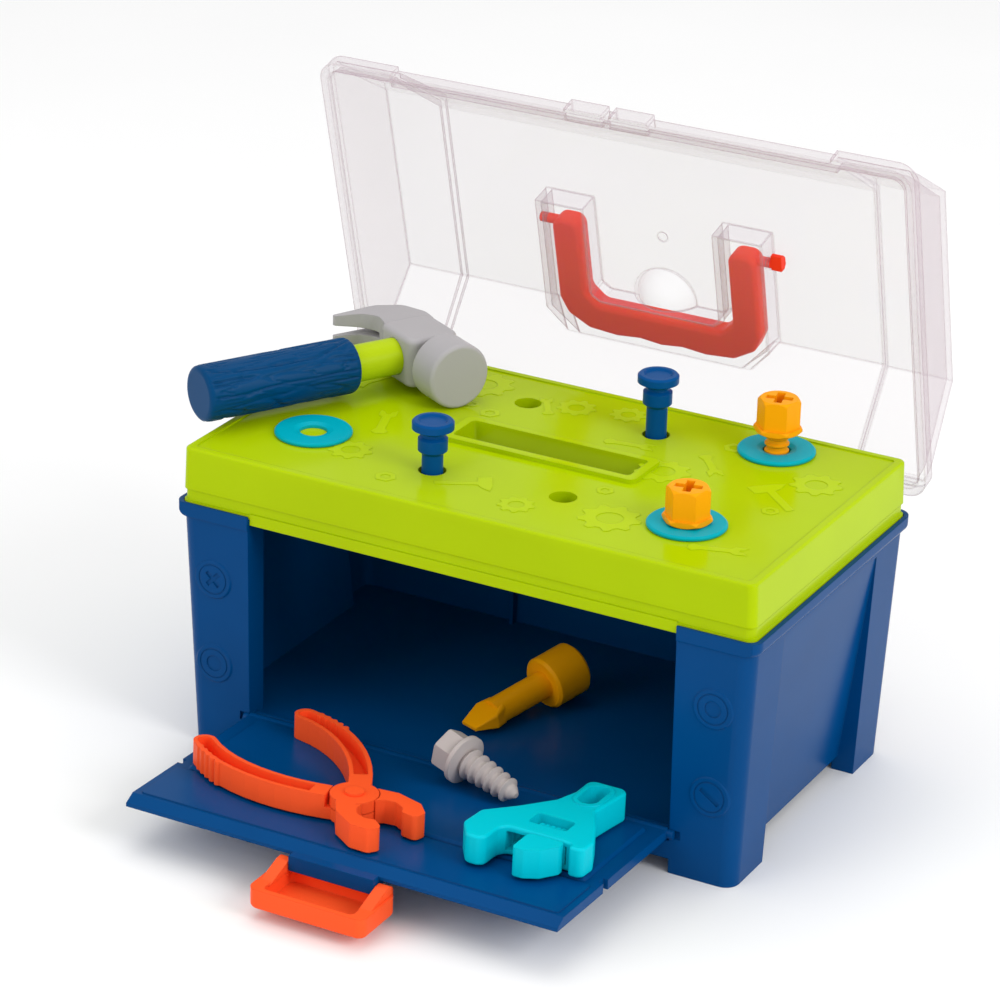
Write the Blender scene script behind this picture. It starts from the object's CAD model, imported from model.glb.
import math

import bpy
from mathutils import Matrix, Vector, noise


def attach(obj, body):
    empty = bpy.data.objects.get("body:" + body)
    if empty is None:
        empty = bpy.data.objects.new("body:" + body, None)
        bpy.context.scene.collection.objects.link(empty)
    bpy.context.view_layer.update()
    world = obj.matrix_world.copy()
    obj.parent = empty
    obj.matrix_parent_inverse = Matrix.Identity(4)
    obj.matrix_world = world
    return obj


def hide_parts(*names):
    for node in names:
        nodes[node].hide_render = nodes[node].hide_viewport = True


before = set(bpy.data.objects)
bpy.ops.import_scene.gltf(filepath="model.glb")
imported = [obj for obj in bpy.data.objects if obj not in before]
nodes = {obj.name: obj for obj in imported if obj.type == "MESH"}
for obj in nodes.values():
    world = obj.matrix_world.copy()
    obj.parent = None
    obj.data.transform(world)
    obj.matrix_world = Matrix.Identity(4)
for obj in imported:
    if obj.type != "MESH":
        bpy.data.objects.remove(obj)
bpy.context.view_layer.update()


# Lengths are metres in the frame's axes, unless a comment says otherwise.
# ------------------------------------------------------------- materials
PLASTIC_IOR, PLASTIC_GLOSS, PLASTIC_EDGE = 1.25, 0.22, 0.0008
DRIFT_SCALE, DRIFT_BAND = 14.0, (0.3, 0.7)
SPECK_SCALE, GRAIN_STRENGTH, GRAIN_DEPTH = 900.0, 0.02, 0.0004

# Clear plastic: its opacity face on, at a grazing view and along an edge
CLEAR_FACE, CLEAR_GRAZING, CLEAR_EDGE = 0.05, 0.55, 0.5
CLEAR_IOR, CLEAR_EDGE_RADIUS, CLEAR_EDGE_FADE = 1.5, 0.0022, 0.86


def linear(hex_colour):
    """Linear RGB of a hex sRGB colour."""
    out = []
    for k in (0, 2, 4):
        c = int(hex_colour[k:k + 2], 16) / 255
        out.append(c / 12.92 if c <= 0.04045 else ((c + 0.055) / 1.055) ** 2.4)
    return tuple(out)


def new_material(name):
    """Empty node material with its Principled shader."""
    mat = bpy.data.materials.new(name)
    mat.use_nodes = True
    tree = mat.node_tree
    shader = next(n for n in tree.nodes if n.type == "BSDF_PRINCIPLED")
    return mat, tree, shader


def varied_colour(tree, low, high, scale):
    """Soft noise between two colours; returns its object coordinates and its ramp."""
    coords = tree.nodes.new("ShaderNodeTexCoord")
    cloud = tree.nodes.new("ShaderNodeTexNoise")
    cloud.inputs["Scale"].default_value = scale
    cloud.inputs["Detail"].default_value = 3.0
    ramp = tree.nodes.new("ShaderNodeValToRGB")
    for stop, position, colour in zip(ramp.color_ramp.elements, DRIFT_BAND, (low, high)):
        stop.position = position
        stop.color = (*colour, 1)
    tree.links.new(coords.outputs["Object"], cloud.inputs["Vector"])
    tree.links.new(cloud.outputs["Fac"], ramp.inputs["Fac"])
    return coords, ramp


def moulded(name, hex_colour, rough, spread):
    """Moulded plastic: faint colour drift, fine surface grain, softened edges."""
    mat, tree, shader = new_material(name)
    colour = linear(hex_colour)
    low = tuple(c * (1 - spread) for c in colour)
    high = tuple(min(1.0, c * (1 + spread)) for c in colour)
    coords, ramp = varied_colour(tree, low, high, DRIFT_SCALE)
    tree.links.new(ramp.outputs["Color"], shader.inputs["Base Color"])
    shader.inputs["Roughness"].default_value = rough
    shader.inputs["Specular IOR Level"].default_value = PLASTIC_GLOSS
    shader.inputs["IOR"].default_value = PLASTIC_IOR
    speck = tree.nodes.new("ShaderNodeTexNoise")
    speck.inputs["Scale"].default_value = SPECK_SCALE
    speck.inputs["Detail"].default_value = 2.0
    tree.links.new(coords.outputs["Object"], speck.inputs["Vector"])
    bevel = tree.nodes.new("ShaderNodeBevel")
    bevel.samples = 4
    bevel.inputs["Radius"].default_value = PLASTIC_EDGE
    bump = tree.nodes.new("ShaderNodeBump")
    bump.inputs["Strength"].default_value = GRAIN_STRENGTH
    bump.inputs["Distance"].default_value = GRAIN_DEPTH
    tree.links.new(speck.outputs["Fac"], bump.inputs["Height"])
    tree.links.new(bevel.outputs["Normal"], bump.inputs["Normal"])
    tree.links.new(bump.outputs["Normal"], shader.inputs["Normal"])
    return mat


def clear_plastic(name):
    """Clear moulded plastic: see-through face on, greyer edge on and along its moulded edges."""
    mat, tree, shader = new_material(name)
    ramp = varied_colour(tree, linear("B29AA6"), linear("C0AAB5"), 6.0)[1]
    tree.links.new(ramp.outputs["Color"], shader.inputs["Base Color"])
    shader.inputs["Roughness"].default_value = 0.05
    shader.inputs["IOR"].default_value = CLEAR_IOR
    facing = tree.nodes.new("ShaderNodeLayerWeight")
    facing.inputs["Blend"].default_value = 0.22
    wall = tree.nodes.new("ShaderNodeMapRange")
    wall.inputs["To Min"].default_value = CLEAR_FACE
    wall.inputs["To Max"].default_value = CLEAR_GRAZING
    tree.links.new(facing.outputs["Facing"], wall.inputs["Value"])
    soft = tree.nodes.new("ShaderNodeBevel")
    soft.samples = 6
    soft.inputs["Radius"].default_value = CLEAR_EDGE_RADIUS
    sharp = tree.nodes.new("ShaderNodeNewGeometry")
    match = tree.nodes.new("ShaderNodeVectorMath")
    match.operation = "DOT_PRODUCT"
    tree.links.new(soft.outputs["Normal"], match.inputs[0])
    tree.links.new(sharp.outputs["True Normal"], match.inputs[1])
    edge = tree.nodes.new("ShaderNodeMapRange")
    edge.inputs["From Min"].default_value = 1.0
    edge.inputs["From Max"].default_value = CLEAR_EDGE_FADE
    edge.inputs["To Max"].default_value = CLEAR_EDGE
    tree.links.new(match.outputs["Value"], edge.inputs["Value"])
    total = tree.nodes.new("ShaderNodeMath")
    total.operation = "MAXIMUM"
    tree.links.new(wall.outputs["Result"], total.inputs[0])
    tree.links.new(edge.outputs["Result"], total.inputs[1])
    tree.links.new(total.outputs["Value"], shader.inputs["Alpha"])
    return mat


BLUE = moulded("blue_plastic", "00437C", 0.25, 0.06)
LIME = moulded("lime_plastic", "ACC600", 0.16, 0.03)
LIME_ICON = moulded("lime_icon_plastic", "B2CC06", 0.3, 0.03)
ORANGE = moulded("orange_plastic", "FF5A2A", 0.35, 0.03)
RED_ORANGE = moulded("handle_plastic", "FF3A1E", 0.35, 0.03)
YELLOW = moulded("yellow_plastic", "FAA50A", 0.33, 0.04)
AMBER = moulded("amber_plastic", "FFAC06", 0.35, 0.03)
AQUA = moulded("wrench_plastic", "00C4D4", 0.33, 0.03)
TURQUOISE = moulded("turquoise_plastic", "00A6B8", 0.3, 0.04)
GREY = moulded("grey_plastic", "ADAAAC", 0.26, 0.03)
WARM_GREY = moulded("warm_grey_plastic", "BEB4B2", 0.42, 0.04)
SHANK = moulded("shank_plastic", "B4CC14", 0.3, 0.03)
BARK = moulded("grip_plastic", "00406F", 0.35, 0.06)
NAVY = moulded("nail_plastic", "004A88", 0.28, 0.05)
CLEAR = clear_plastic("clear_plastic")

FINISH = {
    "base_box": BLUE, "door": BLUE, "latch": ORANGE,
    "deck": LIME, "lid": CLEAR, "carry_handle": RED_ORANGE,
    "nail_front": NAVY, "nail_rear": NAVY, "bolt_front": YELLOW, "bolt_rear": YELLOW,
    "washer_front": TURQUOISE, "washer_rear": TURQUOISE, "washer_loose": TURQUOISE,
    "hammer_head": GREY, "hammer_shank": SHANK, "hammer_grip": BARK,
    "hex_screw": WARM_GREY, "driver_bit": AMBER,
    "pliers_left": ORANGE, "pliers_right": ORANGE, "pliers_pin": ORANGE,
    "wrench_body": AQUA, "wrench_jaw": AQUA, "wrench_worm": AQUA,
}
for name, mat in FINISH.items():
    nodes[name].data.materials.clear()
    nodes[name].data.materials.append(mat)


# ------------------------------------------------------- deck pictograms
FIELD_Z = 0.1689
ICON_RISE = 0.00025
ICON_TOP = FIELD_Z + ICON_RISE
GEAR_TEETH, GEAR_ROOT, GEAR_BORE, NUT_BORE = 9, 0.8, 0.42, 0.5
WRENCH_SLIM, HAMMER_SLIM = 0.16, 0.13


def ring_icon(name, centre, outer, inner):
    """Thin raised ring between two outlines with equal point counts."""
    verts, faces = [], []
    count = len(outer)
    for loop, z in ((outer, FIELD_Z), (outer, ICON_TOP), (inner, ICON_TOP), (inner, FIELD_Z)):
        verts += [(centre[0] + x, centre[1] + y, z) for x, y in loop]
    for band in range(3):
        for k in range(count):
            a, b = band * count + k, band * count + (k + 1) % count
            faces.append((a, b, b + count, a + count))
    return icon_object(name, verts, faces)


def flat_icon(name, centre, outline, turn):
    """Thin raised plate with one outline, turned about its centre."""
    c, s = math.cos(turn), math.sin(turn)
    points = [(centre[0] + x * c - y * s, centre[1] + x * s + y * c) for x, y in outline]
    count = len(points)
    verts = [(x, y, z) for z in (FIELD_Z, ICON_TOP) for x, y in points]
    faces = [tuple(range(count, 2 * count))]
    for k in range(count):
        n = (k + 1) % count
        faces.append((k, n, n + count, k + count))
    return icon_object(name, verts, faces)


def icon_object(name, verts, faces):
    """Links a pictogram mesh that rides on the bench deck."""
    mesh = bpy.data.meshes.new(name)
    mesh.from_pydata(verts, [], faces)
    mesh.update()
    obj = bpy.data.objects.new(name, mesh)
    bpy.context.collection.objects.link(obj)
    mesh.materials.append(LIME_ICON)
    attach(obj, "bench")
    return obj


def circle(radius, count):
    """Points round a circle."""
    step = 2 * math.pi / count
    return [(radius * math.cos(step * k), radius * math.sin(step * k)) for k in range(count)]


def gear_outline(radius, teeth):
    """Toothed outline, four points to a tooth."""
    points = []
    for k in range(teeth * 4):
        angle = 2 * math.pi * (k + 0.5) / (teeth * 4)
        r = radius if k % 4 in (0, 1) else radius * GEAR_ROOT
        points.append((r * math.cos(angle), r * math.sin(angle)))
    return points


def wrench_outline(length, width):
    """Open-ended wrench outline along +X."""
    h, w = length / 2, width / 2
    near = [(-h, w * 0.9), (-h + w, w * 1.9), (-h + 3 * w, w), (h - 3 * w, w),
            (h - 2 * w, w * 2.0), (h + w, w * 1.9), (h, w * 0.7), (h - w, w * 0.5)]
    return near + [(x, -y) for x, y in reversed(near)]


def hammer_outline(length, width):
    """Hammer outline with its head at +X."""
    h, w = length / 2, width / 2
    return [(-h, w), (h - 4 * w, w), (h - 4 * w, 4 * w), (h, 4.4 * w), (h, -2 * w), (h - 0.8 * w, -5 * w),
            (h - 3 * w, -3 * w), (h - 4 * w, -w), (-h, -w)]


def make_icons():
    """Tone-on-tone tool pictograms scattered over the deck."""
    gears = [(-0.074, 0.068, 0.017), (-0.016, 0.065, 0.011), (0.018, -0.066, 0.010), (-0.089, -0.049, 0.012),
             (0.066, -0.056, 0.0165), (0.137, 0.038, 0.014), (0.062, 0.012, 0.015), (0.012, 0.071, 0.010)]
    for k, (x, y, r) in enumerate(gears):
        outline = gear_outline(r, GEAR_TEETH)
        ring_icon("icon_gear_%d" % k, (x, y), outline, circle(r * GEAR_BORE, len(outline)))
    nuts = [(-0.138, 0.017, 0.006), (-0.056, -0.070, 0.006), (0.048, -0.026, 0.005), (-0.052, 0.034, 0.006),
            (0.080, 0.060, 0.006), (-0.066, 0.040, 0.004), (0.131, -0.005, 0.005)]
    for k, (x, y, r) in enumerate(nuts):
        ring_icon("icon_nut_%d" % k, (x, y), circle(r, 6), circle(r * NUT_BORE, 6))
    wrenches = [(-0.127, 0.045, 0.034, 1.2), (0.079, 0.033, 0.026, -0.9), (-0.030, 0.058, 0.022, 2.1),
                (-0.093, -0.008, 0.030, 1.9), (0.128, -0.062, 0.028, 0.3), (0.030, 0.035, 0.026, 0.15)]
    for k, (x, y, length, turn) in enumerate(wrenches):
        flat_icon("icon_wrench_%d" % k, (x, y), wrench_outline(length, length * WRENCH_SLIM), turn)
    hammers = [(0.127, 0.012, 0.034, 2.4), (-0.018, -0.056, 0.030, 0.5), (-0.095, 0.058, 0.020, 1.0)]
    for k, (x, y, length, turn) in enumerate(hammers):
        flat_icon("icon_hammer_%d" % k, (x, y), hammer_outline(length, length * HAMMER_SLIM), turn)


make_icons()


# ------------------------------------------------------------ hammer grip
# The hammer's resting place and turn, then distances along it from its head
GRIP_CENTRE = Vector((-0.106, 0.052, 0.1871))
GRIP_TURN = math.radians(-120.0)
GRIP_START, GRIP_END, GRIP_RADIUS, GRIP_ROUND = 0.043, 0.134, 0.0153, 0.003
GRIP_ROWS, GRIP_SPOKES = 100, 176

# Each set of grooves: depth, width as a share of the noise, noise scale along and round the grip, start
GROOVES = ((0.0011, 0.11, 24, 2.6, 0), (0.0006, 0.12, 40, 5.2, 7))
GROOVE_FADE = 0.005


def grip_radius(along, angle):
    """Grip radius: rounded at both ends, with wavy lengthwise grooves."""
    near_end = min(along - GRIP_START, GRIP_END - along)
    radius = GRIP_RADIUS
    if near_end < GRIP_ROUND:
        radius -= GRIP_ROUND - math.sqrt(GRIP_ROUND ** 2 - (GRIP_ROUND - near_end) ** 2)
    carved = 0.0
    for depth, width, lengthwise, round_it, start in GROOVES:
        spot = Vector((along * lengthwise + start, math.cos(angle) * round_it, math.sin(angle) * round_it))
        carved += depth * max(0.0, 1 - abs(noise.noise(spot)) / width)
    return radius - carved * min(1.0, near_end / GROOVE_FADE)


def make_grip():
    """Carved wood-grain grip in place of the plain one."""
    middle = GRIP_END - GRIP_START - 2 * GRIP_ROUND
    steps = [0.0, 0.0002, 0.0006, 0.0012, 0.002, GRIP_ROUND]
    rows = [GRIP_START + d for d in steps]
    rows += [GRIP_START + GRIP_ROUND + middle * k / GRIP_ROWS for k in range(1, GRIP_ROWS)]
    rows += [GRIP_END - d for d in reversed(steps)]
    spokes = GRIP_SPOKES
    forward = Vector((math.cos(GRIP_TURN), math.sin(GRIP_TURN), 0))
    side = Vector((-forward.y, forward.x, 0))
    verts, faces = [], []
    for along in rows:
        for k in range(spokes):
            angle = 2 * math.pi * k / spokes
            radius = grip_radius(along, angle)
            across = side * math.cos(angle) + Vector((0, 0, 1)) * math.sin(angle)
            verts.append(GRIP_CENTRE + forward * along + across * radius)
    for row in range(len(rows) - 1):
        for k in range(spokes):
            a, b = row * spokes + k, row * spokes + (k + 1) % spokes
            faces.append((a, b, b + spokes, a + spokes))
    last = (len(rows) - 1) * spokes
    faces.append(tuple(reversed(range(spokes))))
    faces.append(tuple(range(last, last + spokes)))
    mesh = bpy.data.meshes.new("hammer_grip_carved")
    mesh.from_pydata(verts, [], faces)
    mesh.update()
    for face in mesh.polygons:
        face.use_smooth = len(face.vertices) == 4
    grip = bpy.data.objects.new("hammer_grip_carved", mesh)
    bpy.context.collection.objects.link(grip)
    mesh.materials.append(BARK)
    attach(grip, "hammer")
    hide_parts("hammer_grip")


make_grip()


# ----------------------------------------------------------------- studio
FLOOR_HALF = 6.0
WORLD_STRENGTH = 0.78
LIGHT_AIM = (0, 0, 0.1)

# Each light: place, width, watts
LIGHTS = {
    "key": ((2.2, -0.5, 1.5), 1.1, 26),
    "fill": ((-1.2, -2.0, 1.2), 1.4, 10),
    "top": ((-0.3, 0.5, 2.4), 1.6, 12),
}

# Camera: degrees, then its place, then millimetres of lens
VIEW_TURN, VIEW_TILT, VIEW_ROLL = -27.953, -23.513, 1.629
CAMERA_AT = (0.8769, -1.7021, 0.9753)
LENS, SENSOR = 143.68, 36.0


def make_floor():
    """Large pale floor."""
    mesh = bpy.data.meshes.new("floor")
    h = FLOOR_HALF
    mesh.from_pydata([(-h, -h, 0), (h, -h, 0), (h, h, 0), (-h, h, 0)], [], [(0, 1, 2, 3)])
    floor = bpy.data.objects.new("floor", mesh)
    bpy.context.collection.objects.link(floor)
    mat, tree, shader = new_material("floor_paper")
    ramp = varied_colour(tree, (0.93, 0.93, 0.93), (0.95, 0.95, 0.95), 3.0)[1]
    tree.links.new(ramp.outputs["Color"], shader.inputs["Base Color"])
    shader.inputs["Roughness"].default_value = 0.8
    mesh.materials.append(mat)


def area_light(name, place, size, power):
    """Square soft light aimed at the workbench."""
    data = bpy.data.lights.new(name, "AREA")
    data.size = size
    data.energy = power
    lamp = bpy.data.objects.new(name, data)
    lamp.location = place
    direction = Vector(LIGHT_AIM) - Vector(place)
    lamp.rotation_euler = direction.to_track_quat("-Z", "Y").to_euler()
    bpy.context.collection.objects.link(lamp)


def make_world(strength):
    """Even pale surroundings."""
    world = bpy.data.worlds.new("studio")
    world.use_nodes = True
    back = next(n for n in world.node_tree.nodes if n.type == "BACKGROUND")
    back.inputs["Color"].default_value = (1.0, 1.0, 1.0, 1.0)
    back.inputs["Strength"].default_value = strength
    bpy.context.scene.world = world


def make_camera():
    """Long-lens view from the front right, above the bench."""
    azimuth, elevation, roll = (math.radians(v) for v in (VIEW_TURN, VIEW_TILT, VIEW_ROLL))
    forward = Vector((math.cos(elevation) * math.sin(azimuth), math.cos(elevation) * math.cos(azimuth),
                      math.sin(elevation)))
    right = forward.cross(Vector((0, 0, 1))).normalized()
    up = right.cross(forward)
    across = math.cos(roll) * right + math.sin(roll) * up
    upward = -math.sin(roll) * right + math.cos(roll) * up
    data = bpy.data.cameras.new("camera")
    data.sensor_width = SENSOR
    data.lens = LENS
    data.clip_end = 50.0
    camera = bpy.data.objects.new("camera", data)
    axes = Matrix((across, upward, -forward)).transposed().to_4x4()
    camera.matrix_world = Matrix.Translation(CAMERA_AT) @ axes
    bpy.context.collection.objects.link(camera)
    bpy.context.scene.camera = camera


bpy.context.scene.view_settings.view_transform = "Standard"
make_floor()
make_world(WORLD_STRENGTH)
for name, (place, size, power) in LIGHTS.items():
    area_light(name, place, size, power)
make_camera()
